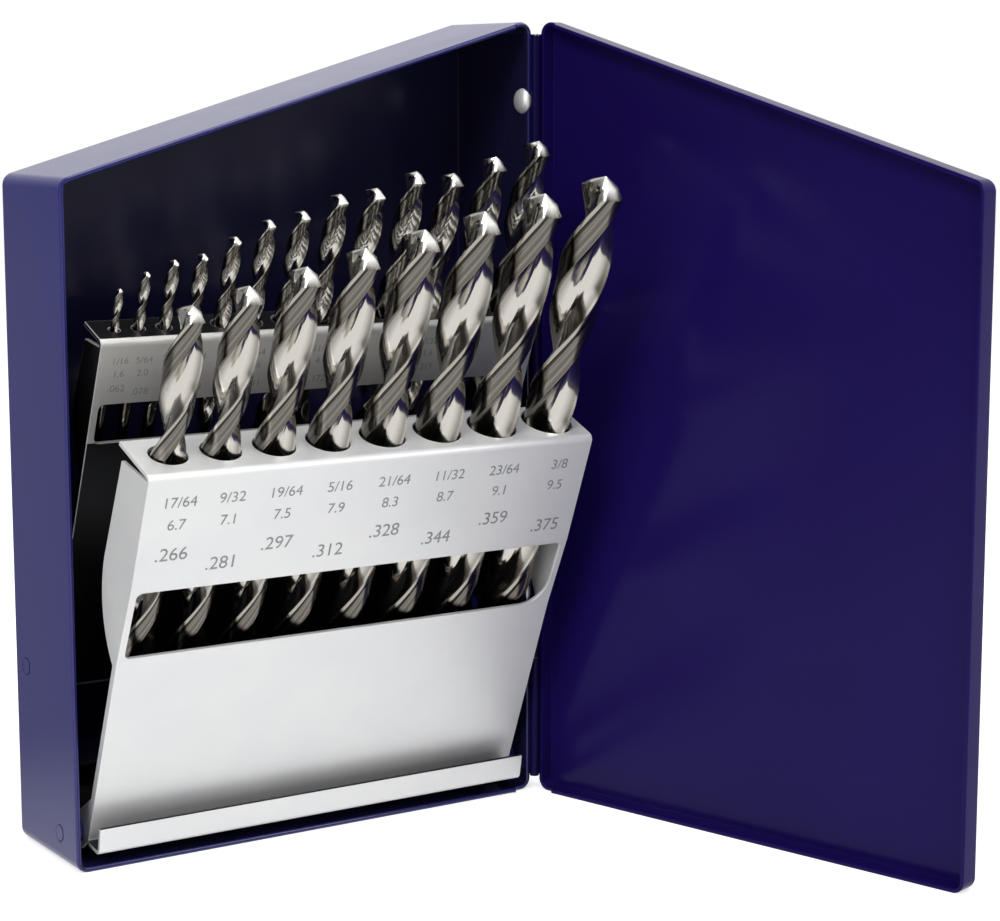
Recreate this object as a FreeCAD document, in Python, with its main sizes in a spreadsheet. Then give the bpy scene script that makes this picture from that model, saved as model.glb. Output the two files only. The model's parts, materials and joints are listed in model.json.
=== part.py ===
import FreeCAD, Part
import math
import os
from FreeCAD import Placement, Rotation, Vector

# A folded sheet-steel drill index: a shallow case with a sloping top and a side-hinged lid.
# Two tilting racks inside it carry 21 twist drills of the fractional series, 1/16 to 3/8 inch.
# The origin is the centre of the case's base, +Z is up, and the open front faces -Y.
# All lengths are in millimetres and all angles in degrees.

# Case and lid
case_width = 102.0  # outside width
case_depth = 28.0  # base to rim, front to back
hinge_height = 158.3  # height of the wall that carries the hinge
free_height = 128.4  # height of the opposite wall
case_sheet = 1.0  # case sheet thickness
lid_depth = 5.0  # lid depth
lid_sheet = 0.8  # lid sheet thickness
corner_radius = 2.4  # outside radius of the folded corners
back_radius = 1.6  # outside radius of the folds round the back
lid_fold_radius = 1.2  # outside radius of the folds round the lid
lid_gap = 0.3  # gap between the rims of the shut case
lid_open_angle = 105.4  # how far the lid stands open

# Hinge
hinge_offset = 0.2  # hinge axis outside the side wall
hinge_length = 152.0  # length of the hinge
hinge_leaf = 0.4  # leaf thickness
pin_radius = 0.5  # hinge pin radius
pin_clearance = 0.05  # radial clearance of pins in moving holes
knuckle_pairs = 3
knuckle_gap = 0.3  # end gap between knuckles
case_leaf_width = 7.0  # case leaf, axis to edge
leaf_play = 0.15  # gap between a leaf and the other leaf's knuckles
lid_leaf_margin = 0.5  # outside of the lid to the edge of its leaf
relief_play = 0.25  # gap between the knuckles and the rims beside them
relief_width = 4.2  # outside wall to the end of the relief
relief_radius = 1.0  # corners of the relief

# Racks
rack_sheet = 0.8  # rack sheet thickness
rack_side_gap = 3.0  # inside of the case to the side of a rack
rack_bend = 0.9  # mean radius of the racks' folds
pivot_radius = 1.25  # pivot journal radius
pivot_ear = 3.6  # radius of the ears round the pivots
hole_clearance = 0.25  # radial clearance of a bit in its hole
window_margin = 1.4  # window end to the side of a rack
window_radius = 1.2  # corners of the windows
window_far_radius = 5.5  # lower corner of the windows on the hinge side
rest_play = 0.2  # gap at the ends of a rest
stud_radius = 1.5  # rivet shank in the case wall
collar_radius = 2.4  # rivet collar between the case wall and the rack
collar_play = 0.15  # gap between the collar and the rack
journal_tail = 0.8  # journal past the inside of the ear

front_pivot_y = -6.0  # front rack pivot, front to back
front_pivot_z = 6.0  # front rack pivot height
front_tilt = 22.0  # forward tilt of the open front rack
front_face = 5.2  # front rack pivot to its face
front_top = 79.7  # front rack pivot to its top
front_depth = 13.2  # front rack shelf depth
front_joggle = 1.0  # set-back of the front rack below its window
front_seat = 75.4  # rest to top of the front rack
front_row = 7.2  # face to row of holes, front rack
front_window_top = 24.1  # top of the front rack to its window
front_window = 14.5  # height of the front window

rear_pivot_y = 8.0  # rear rack pivot, front to back
rear_pivot_z = 35.3  # rear rack pivot height
rear_tilt = 22.5  # forward tilt of the open rear rack
rear_face = 3.0  # rear rack pivot to its face
rear_top = 71.2  # rear rack pivot to its top
rear_depth = 8.1  # rear rack shelf depth
rear_row = 4.3  # face to row of holes, rear rack
rear_foot = 4.5  # rear rack pivot to its lower fold
rear_window_top = 13.0  # top of the rear rack to its window
rear_window = 8.0  # height of the rear window
front_cheek = 7.0  # pivot to the back edge of the front rack's cheeks
rear_cheek = 4.8  # pivot to the back edge of the rear rack's cheeks
ear_width = 1.2  # side flange above the ears
lip_reach = 5.1  # lower face to the front lip
lip_height = 5.0  # height of the front lip
rear_foot_depth = 5.0  # lower fold of the rear rack
rest_lip = 5.0  # back lip of the front rest

# Twist drills
first_front_x = -40.2  # first hole of the front row
front_gap = 3.393  # clear gap between the front bits
first_rear_x = -42.8  # first hole of the rear row
rear_gap = 2.95  # clear gap between the rear bits
first_tread = 39.4  # top of the rear rack to the seat of sizes up to 5/64
step_to_6 = 4.2  # further down to the seat of size 6/64
step_to_9 = 8.5  # further down to the seat of sizes up to 9/64
step_to_11 = 4.8  # further down to the seat of sizes up to 11/64
step_to_13 = 5.3  # further down to the seat of sizes up to 13/64
step_to_16 = 3.7  # further down to the seat of sizes up to 16/64
helix_angle = 28.0  # helix angle of the flutes
point_angle = 118.0  # included angle of the points
web_share = 0.17  # half web over diameter

# The sizes above go into the document's spreadsheet under their own names.
doc = FreeCAD.newDocument("drill_index")
sheet = doc.addObject("Spreadsheet::Sheet", "Sizes")
sizes = {alias: value for alias, value in globals().items() if isinstance(value, float)}
for row, (alias, value) in enumerate(sizes.items(), start=1):
    sheet.set(f"A{row}", alias.replace("_", " "))
    sheet.set(f"B{row}", str(value))
    sheet.setAlias(f"B{row}", alias)

# The seats of the rear bits, by the last size on each tread of the stair.
rear_treads = {5: first_tread}
for last, step in ((6, step_to_6), (9, step_to_9), (11, step_to_11), (13, step_to_13),
                   (16, step_to_16)):
    rear_treads[last] = max(rear_treads.values()) + step

INCH = 25.4
REAR_SIZES = range(4, 17)
FRONT_SIZES = range(17, 25)
# Jobber lengths, in eighths of an inch, for 4/64 to 24/64 inch.
JOBBER_EIGHTHS = [15, 16, 18, 21, 22, 23, 25, 26, 28, 29, 30, 31, 32,
                  33, 34, 35, 36, 37, 38, 39, 40]


def diameter(n):
    return n * INCH / 64


def length(n):
    return JOBBER_EIGHTHS[n - 4] * INCH / 8


def flute_length(n):
    return 0.88 * length(n) - 19.7


# ---- sketching helpers ----

def new_body(name):
    body = doc.addObject("PartDesign::Body", name)
    body.Label = name
    return body


def plane(body, role):
    return [f for f in body.Origin.OriginFeatures if f.Role == role][0]


def new_sketch(body, role, name, edges, offset=0.0, turn=0.0):
    sketch = body.newObject("Sketcher::SketchObject", name)
    sketch.AttachmentSupport = (plane(body, role), "")
    sketch.MapMode = "FlatFace"
    sketch.AttachmentOffset = Placement(Vector(0, 0, offset), Rotation(turn, 0, 0))
    for edge in edges:
        sketch.addGeometry(edge, False)
    return sketch


def feature(body, kind, name, sketch, **values):
    made = body.newObject(f"PartDesign::{kind}", name)
    made.Profile = sketch
    for key, value in values.items():
        setattr(made, key, value)
    body.Tip = made
    sketch.Visibility = False
    return made


def closed(points):
    ring = [Vector(p[0], p[1], 0) for p in points]
    return [Part.LineSegment(ring[i - 1], ring[i]) for i in range(len(ring))]


def bent(points, radii, loop=False):
    """Line segments through the points, with an arc of the given radius at each corner."""
    pts = [Vector(p[0], p[1], 0) for p in points]
    count = len(pts)
    corners = range(count) if loop else range(1, count - 1)
    ends = {}
    arcs = {}
    for i in corners:
        radius = radii[i] if isinstance(radii, (list, tuple)) else radii
        to_last = (pts[i - 1] - pts[i]).normalize()
        to_next = (pts[(i + 1) % count] - pts[i]).normalize()
        half = to_last.getAngle(to_next) / 2
        cut = radius / math.tan(half)
        start = pts[i] + to_last * cut
        stop = pts[i] + to_next * cut
        middle = (to_last + to_next).normalize()
        centre = pts[i] + middle * (radius / math.sin(half))
        arcs[i] = (start, centre - middle * radius, stop, centre)
        ends[i] = (start, stop)
    return pts, ends, arcs


def rounded(points, radii):
    """The edges of a closed outline with rounded corners."""
    pts, ends, arcs = bent(points, radii, loop=True)
    edges = []
    for i in range(len(pts)):
        edges.append(Part.LineSegment(ends[(i - 1) % len(pts)][1], ends[i][0]))
        edges.append(Part.Arc(*arcs[i][:3]))
    return edges


def folded(points, radius, thickness):
    """The outline of a folded strip whose mid-line runs through the points."""
    pts, ends, arcs = bent(points, radius)
    half = thickness / 2
    sides = []
    for sign in (1, -1):
        run = []
        last = pts[0]
        for i in range(1, len(pts)):
            along = (pts[i] - pts[i - 1]).normalize()
            off = Vector(-along.y, along.x, 0) * half * sign
            stop = ends[i][0] if i in ends else pts[i]
            run.append(("line", last + off, stop + off))
            if i in arcs:
                start, mid, end, centre = arcs[i]
                nxt = (pts[i + 1] - pts[i]).normalize()
                off_next = Vector(-nxt.y, nxt.x, 0) * half * sign
                outward = (mid - centre).normalize()
                grow = half if off.dot(outward) > 0 else -half
                run.append(("arc", start + off, mid + outward * grow, end + off_next))
                last = end
        sides.append(run)
    edges = []
    for run in sides:
        for step in run:
            make = Part.LineSegment if step[0] == "line" else Part.Arc
            edges.append(make(*step[1:]))
    for first, second in ((sides[0][0][1], sides[1][0][1]), (sides[0][-1][2], sides[1][-1][2])):
        edges.append(Part.LineSegment(first, second))
    return edges


def inset(points, distance):
    """The corners of a convex outline moved inward by a distance."""
    moved = []
    count = len(points)
    for i in range(count):
        here = Vector(*points[i], 0)
        into = (here - Vector(*points[i - 1], 0)).normalize()
        out = (Vector(*points[(i + 1) % count], 0) - here).normalize()
        n1 = Vector(-into.y, into.x, 0)
        n2 = Vector(-out.y, out.x, 0)
        shift = (n1 + n2) * (distance / (1 + n1.dot(n2)))
        moved.append((here.x + shift.x, here.y + shift.y))
    return moved


# ---- case and lid ----

half_width = case_width / 2
rim_y = -case_depth / 2
hinge_x = half_width + hinge_offset
hinge_y = rim_y - lid_gap / 2
knuckle_radius = pin_radius + pin_clearance + hinge_leaf
outline = [(-half_width, 0), (half_width, 0), (half_width, hinge_height), (-half_width, free_height)]


def lid_swing():
    turn = Rotation(Vector(0, 0, 1), lid_open_angle)
    axis = Vector(hinge_x, hinge_y, 0)
    return Placement(axis - turn.multVec(axis), turn)


def tray(name, front_y, depth, thickness, fold, opens_to_front, alias):
    """A folded tray: the sloping outline with its walls, open on one side."""
    body = new_body(name)
    rim = rim_y if opens_to_front else rim_y - lid_gap
    sketch = new_sketch(body, "XZ_Plane", f"{name}_outline", rounded(outline, corner_radius), -rim)
    block = feature(body, "Pad", f"{name}_block", sketch, Reversed=opens_to_front)
    block.setExpression("Length", f"Sizes.{alias}_depth")
    doc.recompute()
    back_y = rim + depth if opens_to_front else rim - depth
    folds = [
        f"Edge{i + 1}" for i, e in enumerate(block.Shape.Edges)
        if abs(e.BoundBox.YMin - back_y) < 1e-6 and abs(e.BoundBox.YMax - back_y) < 1e-6
    ]
    fillet = body.newObject("PartDesign::Fillet", f"{name}_folds")
    fillet.Base = (block, folds)
    fillet.Radius = fold
    doc.recompute()
    body.Tip = fillet
    inner = rounded(inset(outline, thickness), corner_radius - thickness)
    sketch = new_sketch(body, "XZ_Plane", f"{name}_inside", inner, -rim)
    feature(body, "Pocket", f"{name}_hollow", sketch, Length=depth - thickness,
            Reversed=not opens_to_front)
    # The rims stand back along the hinge, with a curved relief in the end walls.
    back = 1 if opens_to_front else -1
    relief = knuckle_radius + relief_play
    corners = [
        (hinge_x + 2, hinge_y - back * 2),
        (hinge_x + 2, hinge_y + back * relief),
        (half_width - relief_width, hinge_y + back * relief),
        (half_width - relief_width, hinge_y - back * 2),
    ]
    if back > 0:
        corners.reverse()
    cut = new_sketch(body, "XY_Plane", f"{name}_relief", rounded(corners, relief_radius))
    feature(body, "Pocket", f"{name}_hinge_relief", cut, Type=1, Midplane=True)
    doc.recompute()
    return body


case_body = tray("case_body", rim_y, case_depth, case_sheet, back_radius, True, "case")
case_lid = tray("case_lid", rim_y, lid_depth, lid_sheet, lid_fold_radius, False, "lid")
case_lid.Placement = lid_swing()

pivots = [(front_pivot_y, front_pivot_z), (rear_pivot_y, rear_pivot_z)]
holes = [Part.Circle(Vector(y, z, 0), Vector(0, 0, 1), stud_radius) for y, z in pivots]
sketch = new_sketch(case_body, "YZ_Plane", "pivot_holes", holes)
feature(case_body, "Pocket", "case_pivot_holes", sketch, Type=1, Midplane=True)

# ---- hinge ----

pitch = hinge_length / (2 * knuckle_pairs)
hinge_foot = (hinge_height - hinge_length) / 2


def leaf(name, side, width, first):
    """One leaf: a plate on the wall and every other knuckle, curled round the pin."""
    body = new_body(name)
    inner = half_width
    outer = half_width + hinge_leaf
    clear = knuckle_radius + leaf_play
    plate = closed([
        (inner, hinge_y + side * clear), (outer, hinge_y + side * clear),
        (outer, hinge_y + side * width), (inner, hinge_y + side * width),
    ])
    sketch = new_sketch(body, "XY_Plane", f"{name}_plan", plate, hinge_foot)
    pad = feature(body, "Pad", f"{name}_plate", sketch)
    pad.setExpression("Length", "Sizes.hinge_length")
    near = math.sqrt(knuckle_radius**2 - (inner - hinge_x)**2)
    far = math.sqrt(knuckle_radius**2 - (outer - hinge_x)**2)
    top = hinge_y + side * (clear + 0.1)
    start = Vector(inner, hinge_y + side * near, 0)
    stop = Vector(outer, hinge_y + side * far, 0)
    curl = [
        Part.LineSegment(Vector(outer, top, 0), Vector(inner, top, 0)),
        Part.LineSegment(Vector(inner, top, 0), start),
        Part.Arc(start, Vector(hinge_x, hinge_y - side * knuckle_radius, 0), stop),
        Part.LineSegment(stop, Vector(outer, top, 0)),
        Part.Circle(Vector(hinge_x, hinge_y, 0), Vector(0, 0, 1), pin_radius + pin_clearance),
    ]
    sketch = new_sketch(body, "XY_Plane", f"{name}_curl", curl, hinge_foot + first * pitch)
    knuckle = feature(body, "Pad", f"{name}_knuckle", sketch, Length=pitch - knuckle_gap)
    row = body.newObject("PartDesign::LinearPattern", f"{name}_knuckles")
    row.Originals = [knuckle]
    row.Direction = (plane(body, "Z_Axis"), [""])
    row.Length = 2 * pitch * (knuckle_pairs - 1)
    row.Occurrences = knuckle_pairs
    body.Tip = row
    return body


case_leaf = leaf("case_hinge_leaf", 1, case_leaf_width, 0)
lid_leaf = leaf("lid_hinge_leaf", -1, lid_depth - lid_leaf_margin, 1)
lid_leaf.Placement = lid_swing()

pin = doc.addObject("Part::Cylinder", "hinge_pin")
pin.setExpression("Radius", "Sizes.pin_radius")
pin.setExpression("Height", "Sizes.hinge_length")
pin.Placement = Placement(Vector(hinge_x, hinge_y, hinge_foot), Rotation())

# ---- racks ----

rack_half = half_width - case_sheet - rack_side_gap
rest_half = rack_half - rack_sheet - rest_play


def rack_place(pivot_y, pivot_z, tilt):
    return Placement(Vector(0, pivot_y, pivot_z), Rotation(Vector(1, 0, 0), tilt))


front_place = rack_place(front_pivot_y, front_pivot_z, front_tilt)
rear_place = rack_place(rear_pivot_y, rear_pivot_z, rear_tilt)


def rows(sizes, first_x, gap):
    """The places of the holes: neighbouring bits stand the same clear gap apart."""
    places = {}
    x = first_x
    last = None
    for n in sizes:
        if last is not None:
            x += (diameter(last) + diameter(n)) / 2 + gap
        places[n] = x
        last = n
    return places


front_x = rows(FRONT_SIZES, first_front_x, front_gap)
rear_x = rows(REAR_SIZES, first_rear_x, rear_gap)


def rack(name, fold, place, top, holes_x, row_y, window, sides):
    """A folded rack: face, drilled shelf, window, side cheeks and pivot ears."""
    body = new_body(name)
    edges = folded(fold, rack_bend, rack_sheet)
    sketch = new_sketch(body, "YZ_Plane", f"{name}_section", edges)
    feature(body, "Pad", f"{name}_sheet", sketch, Length=2 * rack_half, Midplane=True)
    inner_side = rack_half - rack_sheet
    cheeks = []
    for i, edges in enumerate(sides):
        sketch = new_sketch(body, "YZ_Plane", f"{name}_cheek_{i}", edges, inner_side)
        cheeks.append(feature(body, "Pad", f"{name}_side_{i}", sketch, Length=rack_sheet))
    mirror = body.newObject("PartDesign::Mirrored", f"{name}_both_sides")
    mirror.Originals = cheeks
    mirror.MirrorPlane = (plane(body, "YZ_Plane"), [""])
    body.Tip = mirror
    circles = [
        Part.Circle(Vector(x, row_y, 0), Vector(0, 0, 1), diameter(n) / 2 + hole_clearance)
        for n, x in holes_x.items()
    ]
    sketch = new_sketch(body, "XY_Plane", f"{name}_row", circles, top + 0.5)
    feature(body, "Pocket", f"{name}_holes", sketch, Length=rack_sheet + 1)
    low, high, depth = window
    end = rack_half - window_margin
    corners = [(-end, low), (end, low), (end, high), (-end, high)]
    radii = [window_radius, window_far_radius, window_radius, window_radius]
    sketch = new_sketch(body, "XZ_Plane", f"{name}_window", rounded(corners, radii), depth)
    feature(body, "Pocket", f"{name}_window_cut", sketch, Length=depth + 1)
    bore = [Part.Circle(Vector(0, 0, 0), Vector(0, 0, 1), pivot_radius + pin_clearance)]
    sketch = new_sketch(body, "YZ_Plane", f"{name}_pivot", bore)
    feature(body, "Pocket", f"{name}_pivot_bore", sketch, Type=1, Midplane=True)
    body.Placement = place
    return body


def ear(face_y, foot_z):
    """A pivot ear, rounded about the pivot and running forward to the face."""
    r = pivot_ear
    start = Vector(-r / 2, -r * math.sin(math.pi / 3), 0)
    stop = Vector(r / 2, r * math.sin(math.pi / 3), 0)
    upper = Vector(face_y + ear_width, 2.6 * r, 0)
    corner = Vector(face_y, 2.6 * r, 0)
    foot = Vector(face_y, foot_z, 0)
    return [
        Part.Arc(start, Vector(r, 0, 0), stop),
        Part.LineSegment(stop, upper),
        Part.LineSegment(upper, corner),
        Part.LineSegment(corner, foot),
        Part.LineSegment(foot, start),
    ]


def cheek(face, top, back, waist, low, face_low):
    """An upper side cheek: full depth beside the holes, then curving in to the face."""
    corners = [
        Vector(face, top - rack_sheet - 0.4, 0),
        Vector(back - 1.0, top - rack_sheet - 2.0, 0),
        Vector(back, waist, 0),
        Vector(face_low + 1.4, low, 0),
        Vector(face_low, low - 1.0, 0),
    ]
    knee = Vector(face_low + 0.72 * (back - face_low), low + 0.38 * (waist - low), 0)
    shoulder = Vector(face, waist, 0)
    return [
        Part.LineSegment(corners[0], corners[1]),
        Part.LineSegment(corners[1], corners[2]),
        Part.Arc(corners[2], knee, corners[3]),
        Part.LineSegment(corners[3], corners[4]),
        Part.LineSegment(corners[4], shoulder),
        Part.LineSegment(shoulder, corners[0]),
    ]


half_sheet = rack_sheet / 2
face = half_sheet - front_face
lower_face = face + front_joggle
window_high = front_top - front_window_top
window_low = window_high - front_window
front_fold = [
    (face - half_sheet + front_depth, front_top - half_sheet),
    (face, front_top - half_sheet),
    (face, window_high + 0.9),
    (lower_face, window_low - 0.6),
    (lower_face, -0.2),
    (lower_face - lip_reach, 0.9),
    (lower_face - lip_reach + 1.0, 0.9 + lip_height),
]
front_sides = [
    cheek(face - 0.2, front_top, front_cheek, window_high + 1.0, window_low - 2.2, lower_face - 0.2),
    closed([
        (lower_face - 0.2, 0.4), (lower_face + ear_width, 0.4),
        (lower_face + ear_width, window_low), (lower_face - 0.2, window_low),
    ]),
    ear(lower_face - 0.2, 0.4),
]
front_rack = rack(
    "front_rack", front_fold, front_place, front_top, front_x, front_row - front_face,
    (window_low, window_high, front_face + 1), front_sides,
)

rear_mid = half_sheet - rear_face
rear_high = rear_top - rear_window_top
rear_low = rear_high - rear_window
rear_fold = [
    (rear_depth - rear_face, rear_top - half_sheet),
    (rear_mid, rear_top - half_sheet),
    (rear_mid, half_sheet - rear_foot),
    (rear_mid + rear_foot_depth, half_sheet - rear_foot),
]
rear_sides = [
    cheek(rear_mid - 0.2, rear_top, rear_cheek, rear_high - 2, rear_low - 6, rear_mid - 0.2),
    closed([
        (rear_mid - 0.2, 1 - rear_foot), (rear_mid + ear_width, 1 - rear_foot),
        (rear_mid + ear_width, rear_low - 3), (rear_mid - 0.2, rear_low - 3),
    ]),
    ear(rear_mid - 0.2, 1 - rear_foot),
]
rear_rack = rack(
    "rear_rack", rear_fold, rear_place, rear_top, rear_x, rear_row - rear_face,
    (rear_low, rear_high, rear_face + 1), rear_sides,
)

# ---- rests under the bits ----

seat_z = front_top - front_seat
rest_face = lower_face + rack_sheet
front_rest = new_body("front_rest")
fold = [
    (rest_face, 0.6),
    (rest_face, seat_z - half_sheet),
    (front_depth - front_face - 0.2, seat_z - half_sheet),
    (front_depth - front_face - 0.2, seat_z + rest_lip),
]
sketch = new_sketch(front_rest, "YZ_Plane", "front_rest_section", folded(fold, 0.6, rack_sheet))
feature(front_rest, "Pad", "front_rest_sheet", sketch, Length=2 * rest_half, Midplane=True)
front_rest.Placement = front_place


def rear_seat(n):
    """Height of the tread that a rear bit stands on."""
    return rear_top - rear_treads[min(last for last in rear_treads if last >= n)]


# The rear rest is a folded stair, whose treads bring the tips of the short bits up.
rear_rest = new_body("rear_rest")
upper = []
lower = []
left = -rest_half
for n in rear_treads:
    top_tread = left == -rest_half
    foot_tread = n == REAR_SIZES[-1]
    right = rest_half if foot_tread else rear_x[n] + diameter(n) / 2 + rear_gap / 2
    seat = rear_seat(n)
    upper += [(left, seat), (right, seat)]
    lower += [(left - rack_sheet * (not top_tread), seat - rack_sheet)]
    lower += [(right - rack_sheet * (not foot_tread), seat - rack_sheet)]
    left = right
sketch = new_sketch(rear_rest, "XZ_Plane", "rear_rest_section", closed(upper + lower[::-1]),
                    rear_face - rack_sheet)
feature(rear_rest, "Pad", "rear_rest_sheet", sketch, Length=rear_depth - rack_sheet - 1.2, Reversed=True)
rear_rest.Placement = rear_place

# ---- pivot rivets, fixed in the walls, with the racks' ears turning on them ----

stud = [
    (half_width, 0), (half_width, stud_radius), (half_width - case_sheet, stud_radius),
    (half_width - case_sheet, collar_radius), (rack_half + collar_play, collar_radius),
    (rack_half + collar_play, pivot_radius), (rack_half - rack_sheet - journal_tail, pivot_radius),
    (rack_half - rack_sheet - journal_tail, 0),
]
rivets = []
for i, (y, z) in enumerate(pivots):
    for side in (1, -1):
        profile = doc.addObject("Sketcher::SketchObject", f"rivet_profile_{i}_{(side + 1) // 2}")
        for edge in closed([(side * x, r) for x, r in stud]):
            profile.addGeometry(edge, False)
        turned = doc.addObject("Part::Revolution", f"rivet_{i}_{(side + 1) // 2}")
        turned.Source = profile
        turned.Axis = Vector(1, 0, 0)
        turned.Angle = 360
        turned.Solid = True
        turned.Placement = Placement(Vector(0, y, z), Rotation())
        rivets.append(turned)
pivot_rivets = doc.addObject("Part::Compound", "pivot_rivets")
pivot_rivets.Links = rivets

# ---- twist drills ----

def section(d, angle):
    """The fluted section: two lands and, between them, two flutes down to the web."""
    land = math.radians(38)
    corners = []
    for k in (0, math.pi):
        for turn, reach in ((-land, d / 2), (land, d / 2), (math.pi / 2, web_share * d)):
            a = angle + k + turn
            corners.append((reach * math.cos(a), reach * math.sin(a)))
    return corners


def twist_drill(n, place, x, y, z):
    """Plain shank, two helical flutes and a conical point, standing on its shank."""
    d = diameter(n)
    shank = length(n) - flute_length(n)
    lead = math.pi * d / math.tan(math.radians(helix_angle))
    name = f"drill_{n:02d}"
    body = new_body(name)
    circle = [Part.Circle(Vector(0, 0, 0), Vector(0, 0, 1), d / 2)]
    sketch = new_sketch(body, "XY_Plane", f"{name}_round", circle)
    feature(body, "Pad", f"{name}_shank", sketch, Length=shank)
    steps = math.ceil(flute_length(n) / lead * 12)
    cuts = []
    for i in range(steps + 1):
        share = i / steps
        angle = 2 * math.pi * flute_length(n) * share / lead
        edges = closed(section(d, angle))
        cuts.append(new_sketch(
            body, "XY_Plane", f"{name}_cut_{i}", edges, shank + flute_length(n) * share))
    fluted = feature(body, "AdditiveLoft", f"{name}_fluted", cuts[0])
    fluted.Sections = cuts[1:]
    fluted.Ruled = True
    tip = d / 2 / math.tan(math.radians(point_angle / 2))
    cone = closed([(0, length(n)), (d, length(n) - 2 * tip), (d, length(n) + 1), (0, length(n) + 1)])
    sketch = new_sketch(body, "XZ_Plane", f"{name}_cone", cone)
    feature(body, "Groove", f"{name}_point", sketch, ReferenceAxis=(sketch, ["V_Axis"]), Angle=360)
    body.Placement = place.multiply(Placement(Vector(x, y, z), Rotation()))
    return body


drills = []
for n, x in rear_x.items():
    drills.append(twist_drill(n, rear_place, x, rear_row - rear_face, rear_seat(n)))
for n, x in front_x.items():
    drills.append(twist_drill(n, front_place, x, front_row - front_face, seat_z))

# ---- checks and files ----

nodes = [
    case_body, case_lid, case_leaf, lid_leaf, pin, front_rack, front_rest,
    rear_rack, rear_rest, pivot_rivets,
] + drills

doc.recompute()
for made in doc.Objects:
    if "Invalid" in made.State or "Error" in made.State:
        raise RuntimeError(f"{made.Name} did not compute: {made.State}")
for node in nodes:
    if node.Shape.isNull() or not node.Shape.isValid() or node.Shape.Volume <= 0:
        raise RuntimeError(f"{node.Name} has no valid solid")

os.makedirs("parts", exist_ok=True)
for node in nodes:
    node.Label = node.Name
    node.Shape.exportStep(f"parts/{node.Name}.step")
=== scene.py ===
# %% [markdown]
# # A folding steel drill index
# The case is a shallow box of folded sheet steel with a sloping top and a lid hinged on its side.
# Two zinc-plated racks tilt forward out of it, and twist drills stand in them by size.
# All of it could be modelled here from nothing, but the shapes already exist as CAD solids, and
# two models of one object drift apart. So the solids come from the CAD frame, and this file
# dresses them: paint, plating, ground steel, rounded sheet edges, fluted drills and stamped size
# numbers. Every length is in metres.

# %% The frame and its box
import json
import math

import bmesh
import bpy
from mathutils import Matrix, Vector


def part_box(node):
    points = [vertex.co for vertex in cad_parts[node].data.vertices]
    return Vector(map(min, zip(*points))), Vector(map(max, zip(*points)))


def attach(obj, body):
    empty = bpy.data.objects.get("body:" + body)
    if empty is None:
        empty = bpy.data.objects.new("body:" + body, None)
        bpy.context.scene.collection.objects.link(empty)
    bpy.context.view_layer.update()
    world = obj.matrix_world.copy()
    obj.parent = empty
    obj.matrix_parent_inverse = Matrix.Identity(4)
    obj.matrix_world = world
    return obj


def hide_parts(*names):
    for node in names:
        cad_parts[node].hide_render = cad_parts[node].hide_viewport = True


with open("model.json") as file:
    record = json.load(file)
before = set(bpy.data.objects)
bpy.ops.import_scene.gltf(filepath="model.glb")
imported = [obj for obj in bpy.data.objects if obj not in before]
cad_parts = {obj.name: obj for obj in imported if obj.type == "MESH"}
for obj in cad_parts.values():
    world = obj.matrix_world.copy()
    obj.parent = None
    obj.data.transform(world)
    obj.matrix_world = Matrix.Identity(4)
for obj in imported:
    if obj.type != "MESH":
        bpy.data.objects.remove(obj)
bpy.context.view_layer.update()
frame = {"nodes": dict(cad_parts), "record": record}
nodes = frame["nodes"]
joints = {joint["child"]: joint for joint in frame["record"]["behaviour"]["joints"]}
MM = 0.001

# %% [markdown]
# ## Where the racks stand
# The racks are bent strips that lean forward on two pivots. Their tilt could be typed in as a
# number, but read from the joints it stays right when the CAD changes. Every drill slides along
# its own rack, so the slide's axis gives the tilt, and the rack's hinge gives the pivot.
# Together they make a flat working frame for each rack: X along the row of holes, Y from the
# face into the rack, Z up the face.


# %% A working frame for each rack
def rack_frame(rack_body, drill_body):
    """The frame of a rack, from the joint of its body and that of a drill it carries."""
    pivot = Vector(joints[rack_body]["pos_m"])
    up = Vector(joints[drill_body]["axis"]).normalized()
    tilt = math.atan2(-up.y, up.z)
    return Matrix.Translation(pivot) @ Matrix.Rotation(tilt, 4, "X")


RACKS = {
    "front_rack": rack_frame("front_rack_body", "bit_17"),
    "rear_rack": rack_frame("rear_rack_body", "bit_04"),
}


def local_points(node, place):
    """The corners of a CAD node, measured in another frame."""
    inverse = place.inverted()
    return [inverse @ vertex.co for vertex in nodes[node].data.vertices]


for name, place in RACKS.items():
    top = max(point.z for point in local_points(name, place))
    lean = math.degrees(place.to_euler().x)
    print(f"{name}: top {top / MM:.2f} mm above its pivot, leaning {lean:.1f} degrees")


# %% [markdown]
# ## Small helpers
# Materials and node groups are built from many small nodes. Each could be written out in four or
# five lines, but the same lines would come back a hundred times, so three helpers hold them.
# One function adds a shader or geometry node with its settings and links, one turns a written
# colour into linear light, and one starts a material with a principled shader.


# %% Helpers
def add(tree, kind, links=None, **settings):
    """Adds a node: settings are its properties, links maps an input to a value or a socket."""
    node = tree.nodes.new(kind)
    for key, value in settings.items():
        setattr(node, key, value)
    for key, value in (links or {}).items():
        if isinstance(value, bpy.types.NodeSocket):
            tree.links.new(value, node.inputs[key])
        else:
            node.inputs[key].default_value = value
    return node


def paint(code):
    """An sRGB hex colour as linear light."""
    parts = [int(code[i:i + 2], 16) / 255 for i in (1, 3, 5)]
    linear = [c / 12.92 if c <= 0.04045 else ((c + 0.055) / 1.055) ** 2.4 for c in parts]
    return (*linear, 1.0)


def new_material(name):
    """A material with one principled shader; returns it with its node tree and the shader."""
    material = bpy.data.materials.new(name)
    material.use_nodes = True
    tree = material.node_tree
    tree.nodes.clear()
    shader = tree.nodes.new("ShaderNodeBsdfPrincipled")
    output = tree.nodes.new("ShaderNodeOutputMaterial")
    tree.links.new(shader.outputs[0], output.inputs[0])
    return material, tree, shader


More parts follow.
